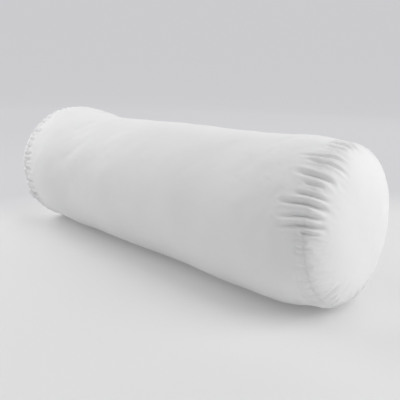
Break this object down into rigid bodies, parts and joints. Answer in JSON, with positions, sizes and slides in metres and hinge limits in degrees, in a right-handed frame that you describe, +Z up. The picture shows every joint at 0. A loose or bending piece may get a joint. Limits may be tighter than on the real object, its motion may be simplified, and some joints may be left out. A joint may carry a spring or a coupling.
{
  "type": "bolster pillow",
  "caption": "Firm round bolster cushion with domed end panels, gathered end seams, a zipped white cover and a stuffed liner, lying on its side.",
  "frame": {"origin": "on the floor, under the middle of the pillow", "axes": "+X along the pillow towards the end that the zip closes to, +Z up, and -Y the side with no zip"},
  "size_m": [0.7, 0.2368, 0.2244],
  "materials": {
    "cover_fabric": "satin",
    "binding_thread": "matte",
    "liner_fabric": "matte",
    "filling_fibre": "matte",
    "zip_tape": "matte",
    "zip_coil": "satin",
    "zip_metal": "satin",
    "label_satin": "satin"
  },
  "bodies": {
    "pillow": {"filling_core": "filling_fibre", "liner_tube": "liner_fabric", "liner_end_right": "liner_fabric", "liner_end_left": "liner_fabric", "cover_tube": "cover_fabric", "cover_end_right": "cover_fabric", "cover_end_left": "cover_fabric", "seam_binding_right": "binding_thread", "seam_binding_left": "binding_thread", "zip_tape_upper": "zip_tape", "zip_tape_lower": "zip_tape", "zip_coil_upper": "zip_coil", "zip_coil_lower": "zip_coil", "zip_stop_top_upper": "zip_metal", "zip_stop_top_lower": "zip_metal", "zip_stop_bottom": "zip_metal", "care_label": "label_satin"},
    "slider": {"zip_slider": "zip_metal"},
    "pull": {"zip_pull": "zip_metal"}
  },
  "joints": [
    {"name": "zip_slide", "type": "slide", "parent": "pillow", "child": "slider", "axis": [1, 0, 0], "range_m": [-0.37, 0]},
    {"name": "pull_hinge", "type": "hinge", "parent": "slider", "child": "pull", "pos_m": [0.21, 0.10203, 0.15632], "axis": [0, 0.4423, -0.8969], "range_deg": [0, 170]}
  ]
}
